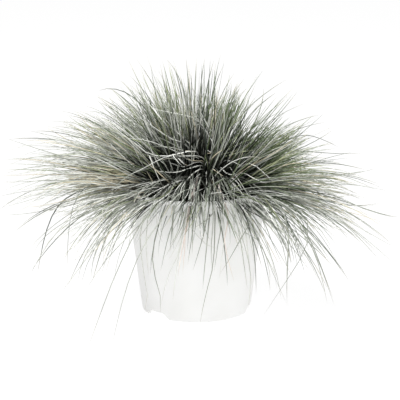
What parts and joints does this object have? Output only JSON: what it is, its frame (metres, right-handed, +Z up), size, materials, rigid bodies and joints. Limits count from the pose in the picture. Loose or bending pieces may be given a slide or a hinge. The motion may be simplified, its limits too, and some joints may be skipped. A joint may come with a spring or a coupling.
{
  "type": "potted grass",
  "caption": "Potted clump of blue fescue: a low dome of fine blue-green needle leaves that spreads and droops over a white round plastic nursery pot",
  "frame": {"origin": "the middle of the pot's foot, on the surface that the pot stands on", "axes": "+Z up, +X to the right and the front facing -Y, as pictured"},
  "size_m": [0.356, 0.3359, 0.2299],
  "materials": {
    "pot_plastic": "thin moulded white plastic, satin, slightly translucent",
    "compost": "moist fibrous compost, matte",
    "old_sheaths": "packed dry leaf bases, matte",
    "leaf": "living needle leaves with a pale blue waxy bloom, matte"
  },
  "bodies": {
    "root": {"pot": "pot_plastic", "potting_soil": "compost", "crown": "old_sheaths", "leaf_tuft_01": "leaf", "leaf_tuft_02": "leaf", "leaf_tuft_03": "leaf", "leaf_tuft_04": "leaf", "leaf_tuft_05": "leaf", "leaf_tuft_06": "leaf", "leaf_tuft_07": "leaf", "leaf_tuft_08": "leaf", "leaf_tuft_09": "leaf", "leaf_tuft_10": "leaf", "leaf_tuft_11": "leaf", "leaf_tuft_12": "leaf", "leaf_tuft_13": "leaf", "leaf_tuft_14": "leaf", "leaf_tuft_15": "leaf", "leaf_tuft_16": "leaf", "leaf_tuft_17": "leaf", "leaf_tuft_18": "leaf", "leaf_tuft_19": "leaf", "leaf_tuft_20": "leaf", "leaf_tuft_21": "leaf", "leaf_tuft_22": "leaf", "leaf_tuft_23": "leaf", "leaf_tuft_24": "leaf", "leaf_tuft_25": "leaf", "leaf_tuft_26": "leaf", "leaf_tuft_27": "leaf", "leaf_tuft_28": "leaf", "leaf_tuft_29": "leaf", "leaf_tuft_30": "leaf", "leaf_tuft_31": "leaf", "leaf_tuft_32": "leaf", "leaf_tuft_33": "leaf", "leaf_tuft_34": "leaf", "leaf_tuft_35": "leaf", "leaf_tuft_36": "leaf", "leaf_tuft_37": "leaf", "leaf_tuft_38": "leaf", "leaf_tuft_39": "leaf", "leaf_tuft_40": "leaf", "leaf_tuft_41": "leaf", "leaf_tuft_42": "leaf", "leaf_tuft_43": "leaf", "leaf_tuft_44": "leaf", "leaf_tuft_45": "leaf", "leaf_tuft_46": "leaf", "leaf_tuft_47": "leaf", "leaf_tuft_48": "leaf", "leaf_tuft_49": "leaf", "leaf_tuft_50": "leaf", "leaf_tuft_51": "leaf", "leaf_tuft_52": "leaf", "leaf_tuft_53": "leaf", "leaf_tuft_54": "leaf"}
  },
  "joints": []
}
